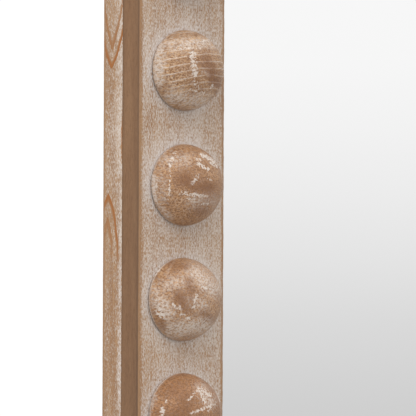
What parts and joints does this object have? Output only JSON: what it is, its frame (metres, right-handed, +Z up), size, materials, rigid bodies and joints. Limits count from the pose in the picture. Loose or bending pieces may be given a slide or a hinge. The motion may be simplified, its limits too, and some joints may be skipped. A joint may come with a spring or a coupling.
{
  "type": "arched floor mirror",
  "caption": "Tall leaning mirror with a round-arched timber frame, half-ball studs set round its face, and ring hangers on the back.",
  "frame": {"origin": "on the floor, below the middle of the mirror's box", "axes": "+X to the right as seen from the front, +Y to the back, towards the wall, +Z up; the face looks along -Y"},
  "size_m": [0.787, 0.092, 1.777],
  "materials": {
    "whitewashed_pine": "brown pine, whitewashed and rubbed back, matt",
    "half_balls": "tan pine with white scuffs, matt",
    "tenon_wood": "plain planed beech",
    "mirror_glass": "clear silvered float glass",
    "backing_board": "bare fibreboard",
    "foam": "closed-cell foam tape",
    "rubber": "matt black rubber",
    "zinc_steel": "bright zinc plate"
  },
  "bodies": {
    "frame": {"left_face_board": "whitewashed_pine", "right_face_board": "whitewashed_pine", "bottom_face_board": "whitewashed_pine", "left_arch_face": "whitewashed_pine", "right_arch_face": "whitewashed_pine", "crown_arch_face": "whitewashed_pine", "joint_tenons": "tenon_wood", "left_side_board": "whitewashed_pine", "right_side_board": "whitewashed_pine", "bottom_back_board": "whitewashed_pine", "left_arch_back": "whitewashed_pine", "right_arch_back": "whitewashed_pine", "left_studs": "half_balls", "right_studs": "half_balls", "bottom_studs": "half_balls", "arch_studs": "half_balls", "mirror_glass": "mirror_glass", "glass_setting_blocks": "rubber", "foam_packing": "foam", "back_panel": "backing_board", "wall_bumpers": "rubber", "left_hanger_strap": "zinc_steel", "right_hanger_strap": "zinc_steel", "hanger_screws": "zinc_steel"},
    "left_ring": {"left_hanger_ring": "zinc_steel"},
    "right_ring": {"right_hanger_ring": "zinc_steel"}
  },
  "joints": [
    {"name": "left_ring_swing", "type": "hinge", "parent": "frame", "child": "left_ring", "pos_m": [-0.3635, 0.04275, 1.23], "axis": [1, 0, 0], "range_deg": [0, 180]},
    {"name": "right_ring_swing", "type": "hinge", "parent": "frame", "child": "right_ring", "pos_m": [0.3635, 0.04275, 1.23], "axis": [1, 0, 0], "range_deg": [0, 180]}
  ]
}
